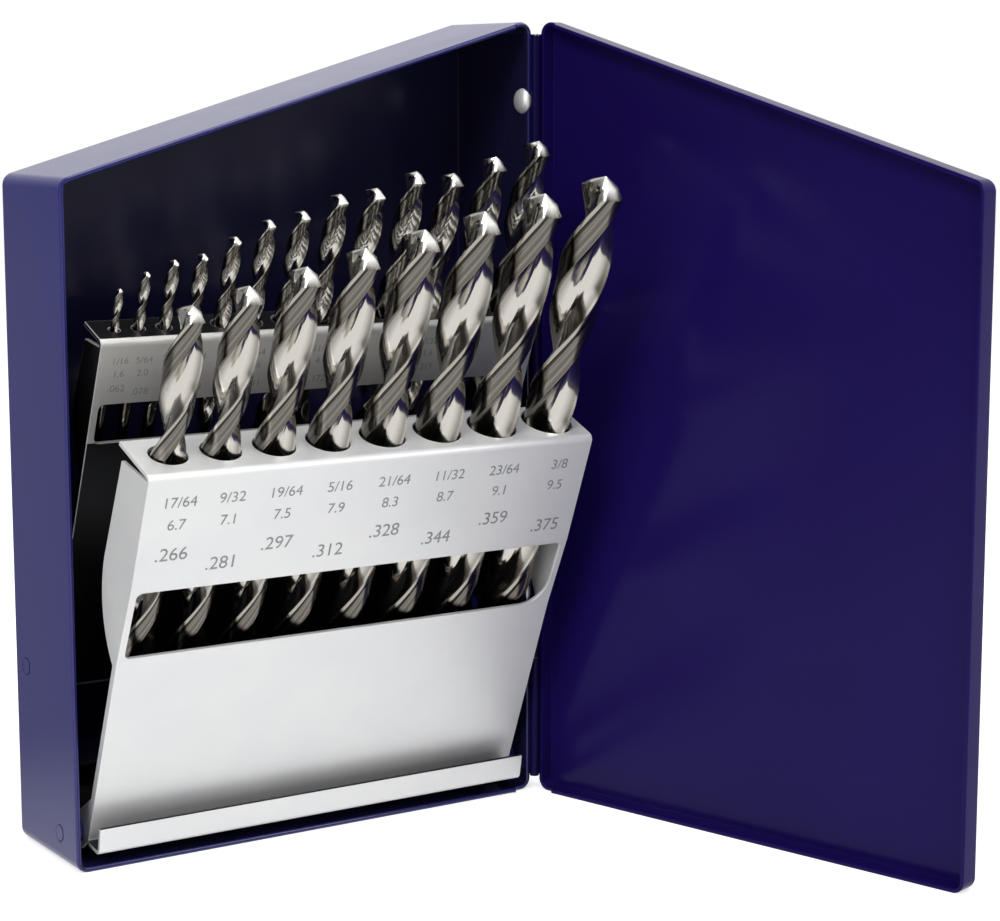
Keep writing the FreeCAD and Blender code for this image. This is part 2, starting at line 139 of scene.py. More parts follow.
# %% [markdown]
# ## Baked enamel
# The case and lid are cold-rolled sheet with a dark blue baked enamel: a dyed film over metal,
# so it is a dielectric with a clear, slightly wavy gloss. One flat colour with a fixed shine
# would do for a toy, but on walls this large and plain it looks like plastic. Noise laid out in
# metres keeps its real size on every piece and needs no unwrapping: slow clouds in the colour,
# rubbing and dust in the roughness, and the wave called orange peel, 1 to 2 mm across, as bump.


# %% Blue enamel
def enamel(name, deep, bright, gloss):
    """Enamel clouded between two blues; gloss is the strength of its mirror image."""
    material, tree, shader = new_material(name)
    where = add(tree, "ShaderNodeTexCoord").outputs["Object"]
    cloud = add(tree, "ShaderNodeTexNoise", {"Vector": where, "Scale": 28.0, "Detail": 3.0})
    colour = add(tree, "ShaderNodeMix", {"Factor": cloud.outputs["Fac"]}, data_type="RGBA")
    colour.inputs["A"].default_value = paint(deep)
    colour.inputs["B"].default_value = paint(bright)
    tree.links.new(colour.outputs["Result"], shader.inputs["Base Color"])
    rub = add(tree, "ShaderNodeTexNoise", {"Vector": where, "Scale": 90.0, "Detail": 5.0})
    dull = add(tree, "ShaderNodeMapRange", {"Value": rub.outputs["Fac"],
                                            "To Min": 0.15, "To Max": 0.23})
    tree.links.new(dull.outputs["Result"], shader.inputs["Roughness"])
    peel = add(tree, "ShaderNodeTexNoise", {"Vector": where, "Scale": 600.0, "Detail": 1.0})
    bump = add(tree, "ShaderNodeBump", {"Height": peel.outputs["Fac"], "Strength": 0.06,
                                        "Distance": 0.2 * MM})
    tree.links.new(bump.outputs["Normal"], shader.inputs["Normal"])
    shader.inputs["IOR"].default_value = 1.5
    shader.inputs["Specular IOR Level"].default_value = gloss
    return material


# The outside of the case is the palest and glossiest. The inside of the case gets a darker copy of
# the enamel as painted shade, for the dark of a deep box. The lid has a deeper, more violet coat,
# and the hinge a still darker copy of it as painted shade.
case_enamel = enamel("baked blue enamel, outside", "#252567", "#2B2B72", 0.50)
inside_shade_enamel = enamel("baked blue enamel, inside with painted shade", "#161430", "#1B193C", 0.30)
lid_enamel = enamel("baked blue enamel, lid", "#160A48", "#1B1052", 0.10)
# The hinge's copy of the enamel is the darkest, as painted shade.
hinge_shade_enamel = enamel("baked blue enamel, hinge with painted shade", "#100736", "#140B3E", 0.06)
print("enamels:", [coat.name for coat in (case_enamel, inside_shade_enamel, lid_enamel, hinge_shade_enamel)])

# %% [markdown]
# ## Bright zinc plate
# The racks are mild steel strip, zinc plated bright. Rolling leaves faint streaks along the
# strip and plating leaves soft cloudy patches. A picture of zinc could be wrapped round the
# racks, but it would stretch at the folds, so two noises give both marks: one drawn out along
# the strip, one even. They vary the roughness together, and the patches vary colour and bump.


# %% Zinc plate
def zinc(name, light, shade, rough, metal=1.0):
    """Plate clouded between two greys; rough is its middle roughness, metal how metallic."""
    material, tree, shader = new_material(name)
    where = add(tree, "ShaderNodeTexCoord").outputs["Object"]
    stretch = add(tree, "ShaderNodeMapping", {"Vector": where, "Scale": (6.0, 260.0, 260.0)})
    streak = add(tree, "ShaderNodeTexNoise", {"Vector": stretch.outputs[0], "Scale": 6.0,
                                              "Detail": 4.0})
    patch = add(tree, "ShaderNodeTexNoise", {"Vector": where, "Scale": 70.0, "Detail": 4.0})
    blend = add(tree, "ShaderNodeMath", {0: streak.outputs["Fac"], 1: patch.outputs["Fac"]},
                operation="MULTIPLY")
    colour = add(tree, "ShaderNodeMix", {"Factor": patch.outputs["Fac"]}, data_type="RGBA")
    colour.inputs["A"].default_value = paint(shade)
    colour.inputs["B"].default_value = paint(light)
    tree.links.new(colour.outputs["Result"], shader.inputs["Base Color"])
    dull = add(tree, "ShaderNodeMapRange", {"Value": blend.outputs[0], "From Max": 0.5,
                                            "To Min": rough - 0.05, "To Max": rough + 0.07})
    tree.links.new(dull.outputs["Result"], shader.inputs["Roughness"])
    bump = add(tree, "ShaderNodeBump", {"Height": patch.outputs["Fac"], "Strength": 0.03,
                                        "Distance": 0.05 * MM})
    tree.links.new(bump.outputs["Normal"], shader.inputs["Normal"])
    shader.inputs["Metallic"].default_value = metal
    return material


# The front rack is nearly white. The rear rack gets its own greyer copy of the plate as painted
# light, and a dark copy paints shade on what lies in the shade inside the racks and on the rests.
# Drawn wire gives the hinge pin a soft grey line, and the rivet's near-white tin, partly a painted
# highlight, lets it stand out from the dark wall.
rack_zinc = zinc("bright zinc plate", "#F2F2F1", "#E4E5E7", 0.42, 0.5)
# The rear rack's warmer grey, more metallic copy is painted light, for how light falls on it inside
# the case.
rear_painted_light_zinc = zinc("zinc plate with the rear rack's painted light", "#DDDCD9", "#C3C2BF", 0.42, 0.7)
painted_shade_zinc = zinc("zinc plate with painted shade", "#3E3F41", "#303134", 0.42)
wire_steel = zinc("drawn steel wire", "#B9BBC0", "#A2A5AB", 0.26)
# The rivet's near-white is partly tin and partly a painted highlight.
rivet_highlight_steel = zinc("bright tinned steel with painted highlight", "#FAFAFA", "#F0F0F0", 0.40, 0.6)
print("bare metals:", [metal.name for metal in (rack_zinc, rear_painted_light_zinc, painted_shade_zinc, wire_steel,
                                                rivet_highlight_steel)])

# %% [markdown]
# ## Ground high-speed steel
# The flutes of each drill are painted bright and its point nearly white, as painted highlights,
# while the lands and the shank are darker, a painted reflection of the dim room, and keep the
# lines of the wheel. Each finish could be a material of its own on its own faces, but the finishes
# meet along a twist and fade into each other at the shank. So the mesh carries numbers, such as 0
# on the lands and 1 in the flutes, and one material blends its finishes by them.


# %% Blending by a number
def paint_between(tree, factor, first, second):
    """Mixes two colours, each of them a hex string or the output of a node."""
    mix = add(tree, "ShaderNodeMix", {"Factor": factor}, data_type="RGBA")
    for socket, colour in ((mix.inputs["A"], first), (mix.inputs["B"], second)):
        if isinstance(colour, str):
            socket.default_value = paint(colour)
        else:
            tree.links.new(colour, socket)
    return mix.outputs["Result"]


def band(tree, value, start, end):
    """1 where a value lies between two ends, 0 elsewhere."""
    inside = add(tree, "ShaderNodeMath", {0: value, 1: (start + end) / 2, 2: (end - start) / 2},
                 operation="COMPARE")
    return inside.outputs[0]


# %% Ground tool steel
def ground_steel(name):
    """Steel that reads flute_depth, lap_cosine, lap_sine and point_cone from the mesh."""
    material, tree, shader = new_material(name)
    depth = add(tree, "ShaderNodeAttribute", attribute_name="flute_depth").outputs["Fac"]
    where = add(tree, "ShaderNodeTexCoord").outputs["Object"]
    # The mesh carries its place around each half turn as a cosine and a sine, from the leading
    # edge of the land. A narrow ground margin is lighter there, a painted shadow lies dark behind
    # it on the step, and the wheel leaves long lines on the rest of the land.
    cosine, sine = (add(tree, "ShaderNodeAttribute", attribute_name=part).outputs["Fac"]
                    for part in ("lap_cosine", "lap_sine"))
    lap = add(tree, "ShaderNodeMath", {0: sine, 1: cosine}, operation="ARCTAN2")
    lap = add(tree, "ShaderNodeMapRange", {"Value": lap.outputs[0],
                                           "From Min": -math.pi, "From Max": math.pi,
                                           "To Min": -0.5, "To Max": 0.5})
    line = add(tree, "ShaderNodeTexNoise", {"W": lap.outputs[0], "Scale": 22.0, "Detail": 2.0},
               noise_dimensions="1D")
    line = add(tree, "ShaderNodeMapRange", {"Value": line.outputs["Fac"],
                                            "From Min": 0.35, "From Max": 0.65})
    colour = paint_between(tree, line.outputs["Result"], "#827D75", "#3F3B35")
    # The dark band behind the margin is painted shadow of the step.
    step = band(tree, lap.outputs[0], 0.05, 0.10)
    colour = paint_between(tree, step, colour, "#1C1A17")
    margin = band(tree, lap.outputs[0], -0.02, 0.05)
    colour = paint_between(tree, margin, colour, "#B4AFA6")
    # The bright flutes and the near-white point are painted highlights.
    colour = paint_between(tree, depth, colour, "#D6D2CA")
    point = add(tree, "ShaderNodeAttribute", attribute_name="point_cone").outputs["Fac"]
    colour = paint_between(tree, point, colour, "#F6F4EF")
    tree.links.new(colour, shader.inputs["Base Color"])
    grit = add(tree, "ShaderNodeTexNoise", {"Vector": where, "Scale": 900.0, "Detail": 3.0})
    dull = add(tree, "ShaderNodeMapRange", {"Value": grit.outputs["Fac"],
                                            "To Min": 0.16, "To Max": 0.26})
    rough = add(tree, "ShaderNodeMath", {0: depth, 1: -0.06, 2: dull.outputs["Result"]},
                operation="MULTIPLY_ADD")
    rough = add(tree, "ShaderNodeMath", {0: point, 1: 0.16, 2: rough.outputs[0]},
                operation="MULTIPLY_ADD")
    tree.links.new(rough.outputs[0], shader.inputs["Roughness"])
    bump = add(tree, "ShaderNodeBump", {"Height": grit.outputs["Fac"], "Strength": 0.08,
                                        "Distance": 0.05 * MM})
    tree.links.new(bump.outputs["Normal"], shader.inputs["Normal"])
    shader.inputs["Metallic"].default_value = 1.0
    return material


# Bright flutes, lined lands and a white point let the eye follow the twist; the bright flutes and
# point are painted highlights and the dark lands a painted reflection.
drill_steel = ground_steel("ground high-speed steel")
print("drill steel:", len(drill_steel.node_tree.nodes), "nodes")

# %% [markdown]
# ## Stamped grooves
# The sizes are struck into the zinc with steel punches. The grooves hold dirt, show the darker
# steel and lie in shade, so the marks read as fine grey lines. The letters here stand out of the
# face instead, and their grey is partly that dirt and steel and partly painted shade. One grey
# would do, but no two strokes of a punch hold the same dirt, so a fine noise varies it.

# %% Groove material
stamp_mark, tree, shader = new_material("stamped groove")
where = add(tree, "ShaderNodeTexCoord").outputs["Object"]
worn = add(tree, "ShaderNodeTexNoise", {"Vector": where, "Scale": 450.0, "Detail": 2.0})
# The grey of the letters is partly dirt and partly painted shade of a groove.
colour = add(tree, "ShaderNodeMix", {"Factor": worn.outputs["Fac"]}, data_type="RGBA")
colour.inputs["A"].default_value = paint("#77787B")
colour.inputs["B"].default_value = paint("#A9AAAC")
tree.links.new(colour.outputs["Result"], shader.inputs["Base Color"])
shader.inputs["Metallic"].default_value = 0.4
shader.inputs["Roughness"].default_value = 0.5
print("groove material:", stamp_mark.name)

# %% [markdown]
# ## Rounded sheet edges
# Folded and sheared sheet never has a razor edge, and the small round catches the light.
# The rounds could be in the CAD, but there they would cost faces in every use of the part, so
# a merged copy of each sheet piece gets a narrow bevel on its sharp edges and stands in for it.


# %% From object to plain mesh
def body_of(node):
    """The body that carries a CAD node."""
    for body, members in frame["record"]["behaviour"]["bodies"].items():
        if node in members:
            return body
    raise ValueError(node)


def baked(piece):
    """Gives an object the plain mesh that its modifiers make, and returns that mesh."""
    graph = bpy.context.evaluated_depsgraph_get()
    mesh = bpy.data.meshes.new_from_object(piece.evaluated_get(graph))
    piece.modifiers.clear()
    piece.data = mesh
    return mesh


# %% Softened copies of the sheet pieces
SHARP_FOLD = math.radians(40)
SHADED_SHARP = math.radians(32)


def softened(node, material, width, in_shade=None, shade_material=None, place=None, seam=None):
    """A merged copy of a CAD piece with its sharp edges rounded.

    Faces for which the given rule, called with centre and normal, is true get the second material,
    a darker copy that paints shade on them. Where that changes part way up a flat face, seam is
    the height of the cut in the frame named place."""
    mesh = nodes[node].data.copy()
    mesh.name = f"{node}_sheet"
    work = bmesh.new()
    work.from_mesh(mesh)
    bmesh.ops.remove_doubles(work, verts=work.verts, dist=1e-6)
    bmesh.ops.dissolve_limit(work, angle_limit=math.radians(1.0), verts=work.verts,
                             edges=work.edges)
    if seam:
        bmesh.ops.bisect_plane(work, geom=[*work.verts, *work.edges, *work.faces], dist=1e-7,
                               plane_co=place @ Vector((0, 0, seam)),
                               plane_no=place.to_3x3().col[2])
    weights = work.edges.layers.float.new("bevel_weight_edge")
    for edge in work.edges:
        if len(edge.link_faces) == 2 and edge.calc_face_angle() > SHARP_FOLD:
            edge[weights] = 1.0
    work.to_mesh(mesh)
    work.free()
    piece = bpy.data.objects.new(f"{node}_sheet", mesh)
    bpy.context.scene.collection.objects.link(piece)
    mesh.materials.clear()
    mesh.materials.append(material)
    bevel = piece.modifiers.new("edge round", "BEVEL")
    bevel.width = width
    bevel.segments = 2
    bevel.limit_method = "WEIGHT"
    bevel.use_clamp_overlap = False
    finished = baked(piece)
    finished.shade_smooth()
    finished.set_sharp_from_angle(angle=SHADED_SHARP)
    # Large flat walls keep their own normals, so the rounded edges do not shade across them.
    even = piece.modifiers.new("even walls", "WEIGHTED_NORMAL")
    even.keep_sharp = True
    even.weight = 100
    finished = baked(piece)
    if in_shade:
        finished.materials.clear()
        finished.materials.append(material)
        finished.materials.append(shade_material)
        for polygon in finished.polygons:
            polygon.material_index = int(in_shade(polygon.center, polygon.normal))
    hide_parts(node)
    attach(piece, body_of(node))
    print(node, "faces", len(finished.polygons))


# %% [markdown]
# ## Painted shade on one sheet
# The same sheet shows a bright outside and a shaded inside, and the shade is painted: the faces in
# it get a darker copy of the material. It could be split into two objects, but they would part at
# the bevels, so one object holds two materials, and a rule on the place and the direction of each
# face tells which one it gets.

# %% Which faces lie in the shade
case_low, case_high = (Vector(corner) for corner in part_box("case_body"))
WALL = 1.0 * MM
FREE_HEIGHT = 128.4 * MM
HINGE_HEIGHT = 158.3 * MM
# Heights on the racks above their pivots.
LIP_TOP = 8.0 * MM
WINDOW_SILL = 50.3 * MM
SHELF_LEVEL = 70.0 * MM


def inside_case(centre, normal):
    """Whether a face lies on the inside of the case's walls."""
    share = (centre.x - case_low.x) / (case_high.x - case_low.x)
    top = FREE_HEIGHT + share * (HINGE_HEIGHT - FREE_HEIGHT)
    margin = 0.9 * WALL
    return (case_low.x + margin < centre.x < case_high.x - margin
            and centre.y < case_high.y - margin
            and case_low.z + margin < centre.z < top - margin)


def behind_front_rack(centre, normal):
    """The back of the front rack's sheet and the floor of its lip, which get painted shade."""
    there = RACKS["front_rack"].inverted() @ centre
    turned = RACKS["front_rack"].to_3x3().inverted() @ normal
    return turned.y > 0.5 or (there.z < LIP_TOP and turned.z > 0.7)


def shaded_on_rear_rack(centre, normal):
    """The rear rack's top, its cheeks, its face below the window and the back of its sheet, which
    get painted shade.
    """
    there = RACKS["rear_rack"].inverted() @ centre
    turned = RACKS["rear_rack"].to_3x3().inverted() @ normal
    below = there.z < WINDOW_SILL and turned.y < -0.98
    above = there.z > SHELF_LEVEL and turned.z > 0.98
    return below or above or turned.y > 0.5 or abs(turned.x) > 0.98


# %% The sheet pieces, and the small ones that keep their CAD mesh
CASE_ROUND = 0.42 * MM
LID_ROUND = 0.24 * MM
RACK_ROUND = 0.16 * MM
# Faces inside the case get the darker enamel as painted shade.
softened("case_body", case_enamel, CASE_ROUND, inside_case, inside_shade_enamel)
softened("case_lid", lid_enamel, LID_ROUND)
# Faces of the racks that lie in shade get the dark zinc as painted shade.
softened("front_rack", rack_zinc, RACK_ROUND, behind_front_rack, painted_shade_zinc)
softened("rear_rack", rear_painted_light_zinc, RACK_ROUND, shaded_on_rear_rack, painted_shade_zinc,
         RACKS["rear_rack"], WINDOW_SILL)
# The rests take the dark zinc as painted shade.
for plain, material in (
    ("case_hinge_leaf", hinge_shade_enamel), ("lid_hinge_leaf", hinge_shade_enamel), ("hinge_pin", wire_steel),
    ("pivot_rivets", case_enamel), ("front_rest", painted_shade_zinc), ("rear_rest", painted_shade_zinc),
):
    nodes[plain].data.materials.clear()
    nodes[plain].data.materials.append(material)
    print(plain, "in", material.name)

# %% [markdown]
# ## Hinge rivets
# Domed steel rivets hold the hinge to the case wall, close to the rim. They could be placed one
# by one, but a row is a rule: Geometry Nodes puts one squashed sphere at each point of a line,
# and a change of pitch or size moves them all. The wall hides the outer half of each.


# %% A row of rivets on the case wall
def rivet_tree():
    """A node tree for a row of domed heads that climbs along Z."""
    tree = bpy.data.node_groups.new("rivet row", "GeometryNodeTree")
    face = tree.interface
    for label, value in (("Radius", 0.002), ("Height", 0.001), ("Pitch", 0.06)):
        face.new_socket(label, in_out="INPUT", socket_type="NodeSocketFloat").default_value = value
    face.new_socket("Count", in_out="INPUT", socket_type="NodeSocketInt").default_value = 3
    face.new_socket("Steel", in_out="INPUT", socket_type="NodeSocketMaterial")
    face.new_socket("Geometry", in_out="OUTPUT", socket_type="NodeSocketGeometry")
    given = tree.nodes.new("NodeGroupInput").outputs
    step = add(tree, "ShaderNodeCombineXYZ", {"Z": given["Pitch"]})
    line = add(tree, "GeometryNodeMeshLine", {"Count": given["Count"], "Offset": step.outputs[0]})
    ball = add(tree, "GeometryNodeMeshUVSphere", {"Segments": 32, "Rings": 16, "Radius": 1.0})
    size = add(tree, "ShaderNodeCombineXYZ", {"X": given["Height"], "Y": given["Radius"],
                                              "Z": given["Radius"]})
    heads = add(tree, "GeometryNodeInstanceOnPoints", {
        "Points": line.outputs["Mesh"], "Instance": ball.outputs["Mesh"], "Scale": size.outputs[0]})
    whole = add(tree, "GeometryNodeRealizeInstances", {"Geometry": heads.outputs[0]})
    steel = add(tree, "GeometryNodeSetMaterial", {"Geometry": whole.outputs[0],
                                                  "Material": given["Steel"]})
    add(tree, "NodeGroupOutput", {"Geometry": steel.outputs[0]})
    return tree


# %% The row in its place
def from_tree(name, tree, values):
    """Runs a node tree with its named inputs and returns the finished plain mesh object."""
    piece = bpy.data.objects.new(name, bpy.data.meshes.new("blank"))
    bpy.context.scene.collection.objects.link(piece)
    wrap = piece.modifiers.new("nodes", "NODES")
    wrap.node_group = tree
    sockets = {item.name: item.identifier for item in tree.interface.items_tree
               if item.in_out == "INPUT"}
    for label, value in values.items():
        wrap[sockets[label]] = value
    baked(piece)
    return piece


TOP_RIVET_HEIGHT = 142.0 * MM
RIVET_FROM_RIM = 2.9 * MM
rivets = from_tree("hinge_rivets", rivet_tree(), {
    "Radius": 2.5 * MM, "Height": 1.3 * MM, "Pitch": -50.0 * MM, "Count": 3, "Steel": rivet_highlight_steel})
rivets.data.transform(Matrix.Translation(
    (case_high.x - WALL, case_low.y + RIVET_FROM_RIM, TOP_RIVET_HEIGHT)))
rivets.data.shade_smooth()
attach(rivets, "case")
print("hinge rivets:", len(rivets.data.polygons), "faces")

# %% [markdown]
# ## Fluted drills
# A twist drill follows a rule: one section, turned steadily as it climbs. It could be carved
# from a cylinder with a twisted cutter, as in the workshop, but a boolean leaves ragged faces
# along the lands. Geometry Nodes makes it from a grid instead. One direction of the grid goes
# round the drill and the other climbs it. The grid is twisted with the flute, so the edges
# of the lands follow grid lines and stay crisp. A curve gives the section over half a turn, a
# ramp runs the flute out into the shank, and the cone of the point caps the radius at the top.


# %% Arithmetic and the section
def arithmetic(tree):
    """A short way to add math nodes to a tree."""
    def math_node(operation, a, b=None, c=None, clamp=False):
        links = {0: a}
        if b is not None:
            links[1] = b
        if c is not None:
            links[2] = c
        return add(tree, "ShaderNodeMath", links, operation=operation, use_clamp=clamp).outputs[0]
    return math_node


def section_curve(tree, half_turn):
    """The share of the full radius over half a turn: a thin margin leads, the land follows to
    0.36, and the flute takes the rest."""
    section = add(tree, "ShaderNodeFloatCurve", {"Value": half_turn})
    curve = section.mapping.curves[0]
    marks = [(0.0, 1.0), (0.05, 1.0), (0.06, 0.965), (0.34, 0.955), (0.36, 0.90), (0.44, 0.60),
             (0.55, 0.38), (0.68, 0.31), (0.81, 0.38), (0.92, 0.62), (0.99, 0.96), (1.0, 1.0)]
    while len(curve.points) < len(marks):
        curve.points.new(0.5, 0.5)
    for point, (x, y) in zip(curve.points, marks):
        point.location = (x, y)
        point.handle_type = "VECTOR"
    section.mapping.update()
    return section.outputs[0]


# %% The drill's node tree
POINT_HALF_ANGLE = math.radians(59)


def drill_tree():
    """A node tree for one drill that stands on its shank at the origin."""
    tree = bpy.data.node_groups.new("twist drill", "GeometryNodeTree")
    face = tree.interface
    for label, value in (("Radius", 0.004), ("Length", 0.1), ("Flute Start", 0.03),
                         ("Lead", 0.05), ("Phase", 0.0)):
        face.new_socket(label, in_out="INPUT", socket_type="NodeSocketFloat").default_value = value
    face.new_socket("Rows", in_out="INPUT", socket_type="NodeSocketInt").default_value = 100
    face.new_socket("Steel", in_out="INPUT", socket_type="NodeSocketMaterial")
    face.new_socket("Geometry", in_out="OUTPUT", socket_type="NodeSocketGeometry")
    given = tree.nodes.new("NodeGroupInput").outputs
    math_node = arithmetic(tree)
    grid = add(tree, "GeometryNodeMeshGrid", {"Size X": 1.0, "Size Y": 1.0, "Vertices X": 49,
                                              "Vertices Y": given["Rows"]})
    spot = add(tree, "GeometryNodeInputPosition")
    place = add(tree, "ShaderNodeSeparateXYZ", {0: spot.outputs[0]})
    around = math_node("ADD", place.outputs["X"], 0.5)
    climb = math_node("ADD", place.outputs["Y"], 0.5)
    # The first and last rows close the ends, so the climb is stretched a little past both.
    share = math_node("MULTIPLY_ADD", climb, 1.02, -0.01)
    height = math_node("MULTIPLY", share, given["Length"])
    z = math_node("MINIMUM", math_node("MAXIMUM", height, 0.0), given["Length"])
    section = section_curve(tree, math_node("FRACT", math_node("MULTIPLY", around, 2.0)))
    # The flute runs out into the shank over 2.2 radii, and is cut as deep as the section says.
    above = math_node("SUBTRACT", z, given["Flute Start"])
    run_out = math_node("DIVIDE", above, math_node("MULTIPLY", given["Radius"], 2.2), clamp=True)
    cut = math_node("MULTIPLY", math_node("SUBTRACT", 1.0, section), run_out)
    body = math_node("MULTIPLY", math_node("SUBTRACT", 1.0, cut), given["Radius"])
    left = math_node("SUBTRACT", given["Length"], z)
    cone = math_node("MULTIPLY", left, math.tan(POINT_HALF_ANGLE))
    # The foot of the shank has a small chamfer, and the row under it closes to a point.
    foot = math_node("ADD", z, math_node("MULTIPLY", given["Radius"], 0.88))
    is_under = math_node("LESS_THAN", height, -1e-7)
    keep = math_node("SUBTRACT", 1.0, is_under)
    radius = math_node("MINIMUM", math_node("MINIMUM", body, cone), foot)
    radius = math_node("MULTIPLY", radius, keep)
    turns = math_node("SUBTRACT", given["Phase"], math_node("DIVIDE", left, given["Lead"]))
    angle = math_node("MULTIPLY", math_node("ADD", around, turns), math.tau)
    x = math_node("MULTIPLY", radius, math_node("COSINE", angle))
    y = math_node("MULTIPLY", radius, math_node("SINE", angle))
    target = add(tree, "ShaderNodeCombineXYZ", {"X": x, "Y": y, "Z": z})
    # The material reads where it lies: flute or land, how far round the half turn, point or body.
    lap = math_node("MULTIPLY", around, 2.0 * math.tau)
    kept = grid.outputs["Mesh"]
    depth = math_node("MULTIPLY", cut, 2.2, clamp=True)
    cosine, sine = math_node("COSINE", lap), math_node("SINE", lap)
    on_point = math_node("LESS_THAN", cone, math_node("MULTIPLY", body, 0.999))
    for label, value in (("flute_depth", depth), ("lap_cosine", cosine), ("lap_sine", sine),
                         ("point_cone", on_point)):
        stored = add(tree, "GeometryNodeStoreNamedAttribute",
                     {"Geometry": kept, "Name": label, "Value": value},
                     data_type="FLOAT", domain="POINT")
        kept = stored.outputs[0]
    moved = add(tree, "GeometryNodeSetPosition", {"Geometry": kept, "Position": target.outputs[0]})
    merged = add(tree, "GeometryNodeMergeByDistance", {"Geometry": moved.outputs[0],
                                                       "Distance": 2e-6})
    whole = add(tree, "GeometryNodeRealizeInstances", {"Geometry": merged.outputs[0]})
    steel = add(tree, "GeometryNodeSetMaterial", {"Geometry": whole.outputs[0],
                                                  "Material": given["Steel"]})
    add(tree, "NodeGroupOutput", {"Geometry": steel.outputs[0]})
    return tree


DRILL_TREE = drill_tree()
print("drill tree:", len(DRILL_TREE.nodes), "nodes")

# %% [markdown]
# ## The set of drills
# The set runs from 4 to 24 sixty-fourths of an inch, one drill to a hole. The places could be
# listed by hand, but each CAD solid knows its own: its number gives the diameter, the slide's
# axis gives the direction, and the box round it gives its foot and its length. One node tree
# serves all 21 drills.

# %% One drill for each CAD solid
HELIX = math.radians(28)
MM_PER_INCH = 25.4
INCH = MM_PER_INCH * MM
# The flutes begin at a share of the length and a fixed height above the foot, as in the CAD.
SHANK_SHARE = 0.12
SHANK_MORE = 19.7 * MM
# Every point is turned alike, by this share of a turn, so the eye reads the drills as one set.
LAND_PHASE = 0.2125
# One row of the grid for every 0.30 of a radius, and never fewer than 90.
ROW_STEP = 0.30
FEWEST_ROWS = 90
EDGE_OF_LAND = math.radians(38)


def drill_facts(number):
    """Where a drill's foot is, how far it leans, and its radius and length."""
    low, high = (Vector(corner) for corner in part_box(f"drill_{number:02d}"))
    up = Vector(joints[f"bit_{number:02d}"]["axis"]).normalized()
    tilt = math.atan2(-up.y, up.z)
    radius = number / 64 * INCH / 2
    foot = Vector(((low.x + high.x) / 2, high.y - radius * math.cos(tilt),
                   low.z + radius * math.sin(tilt)))
    length = (high.z - foot.z) / math.cos(tilt)
    return foot, tilt, radius, length


def make_drill(number):
    """Makes one drill, sets it in its hole and returns its count of faces."""
    foot, tilt, radius, length = drill_facts(number)
    piece = from_tree(f"twist_drill_{number:02d}", DRILL_TREE, {
        "Radius": radius, "Length": length, "Flute Start": SHANK_SHARE * length + SHANK_MORE,
        "Phase": LAND_PHASE, "Lead": math.tau * radius / math.tan(HELIX),
        "Rows": int(max(FEWEST_ROWS, length / (radius * ROW_STEP))), "Steel": drill_steel,
    })
    mesh = piece.data
    mesh.transform(Matrix.Translation(foot) @ Matrix.Rotation(tilt, 4, "X"))
    work = bmesh.new()
    work.from_mesh(mesh)
    bmesh.ops.recalc_face_normals(work, faces=work.faces)
    work.to_mesh(mesh)
    work.free()
    mesh.shade_smooth()
    mesh.set_sharp_from_angle(angle=EDGE_OF_LAND)
    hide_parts(f"drill_{number:02d}")
    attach(piece, f"bit_{number:02d}")
    return len(mesh.polygons)


print("drill faces:", sum(make_drill(number) for number in range(4, 25)))

# %% [markdown]
# ## Size numbers
# Each hole has its size struck below it: the fraction of an inch, the size in millimetres and
# the size in thousandths. The grooves could be cut into the face with a boolean, but hundreds of
# small cuts would break up its flat sheet, so thin letters are laid on it, standing out by
# 0.03 mm. All numbers of a rack are joined into one piece that tilts with it.

# %% One rack's numbers
# A letter is a slab of twice this depth, with its middle this far out of the face.
LETTER_HALF_DEPTH = 0.02 * MM
LETTER_OFFSET = 0.012 * MM


def fraction(number):
    """A size in 64ths of an inch as the fraction in its lowest terms."""
    part = math.gcd(number, 64)
    return f"{number // part}/{64 // part}"


def stamp_rows(rack, body, numbers, rows, name):
    """Lays three rows of sizes on a rack's face, in line with its drills, as one piece."""
    place = RACKS[rack]
    points = local_points(rack, place)
    top = max(p.z for p in points)
    face = min(p.y for p in points if p.z > top - 12 * MM)
    mesh = bmesh.new()
    for number in numbers:
        low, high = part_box(f"drill_{number:02d}")
        x = (low[0] + high[0]) / 2
        texts = (fraction(number), f"{number * MM_PER_INCH / 64:.1f}", f"{number / 64:.3f}"[1:])
        for text, (drop, stagger, height) in zip(texts, rows):
            drop += stagger * ((number - numbers[0]) % 2)
            curve = bpy.data.curves.new("mark", "FONT")
            curve.body = text
            curve.size = height
            curve.align_x = "CENTER"
            curve.extrude = LETTER_HALF_DEPTH
            letter = bpy.data.objects.new("mark", curve)
            made = bpy.data.meshes.new_from_object(letter)
            made.transform(place @ Matrix.Translation((x, face - LETTER_OFFSET, top - drop))
                           @ Matrix.Rotation(math.pi / 2, 4, "X"))
            mesh.from_mesh(made)
            bpy.data.objects.remove(letter)
            bpy.data.meshes.remove(made)
    data = bpy.data.meshes.new(name)
    mesh.to_mesh(data)
    mesh.free()
    data.materials.append(stamp_mark)
    piece = bpy.data.objects.new(name, data)
    bpy.context.scene.collection.objects.link(piece)
    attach(piece, body)
    print(name, "faces", len(data.polygons))


# %% Three rows of numbers on each rack
# Each row is its drop below the top, the extra drop of every other size, and its height.
stamp_rows("front_rack", "front_rack_body", range(17, 25),
           ((6.6 * MM, 0, 3.0 * MM), (11.2 * MM, 0, 3.0 * MM), (17.6 * MM, 2.9 * MM, 3.8 * MM)),
           "front_size_numbers")
stamp_rows("rear_rack", "rear_rack_body", range(4, 17),
           ((4.8 * MM, 0, 1.9 * MM), (7.4 * MM, 0, 1.9 * MM), (10.4 * MM, 0.9 * MM, 2.0 * MM)),
           "rear_size_numbers")

# %% [markdown]
# ## Floor
# In a studio a product stands on a pale table. A plain white plane would do for the camera, but
# polished metal also mirrors it, with every shadow on it. So the floor gives the camera a lifted
# white with a soft shadow, and gives mirrors a clean glow.

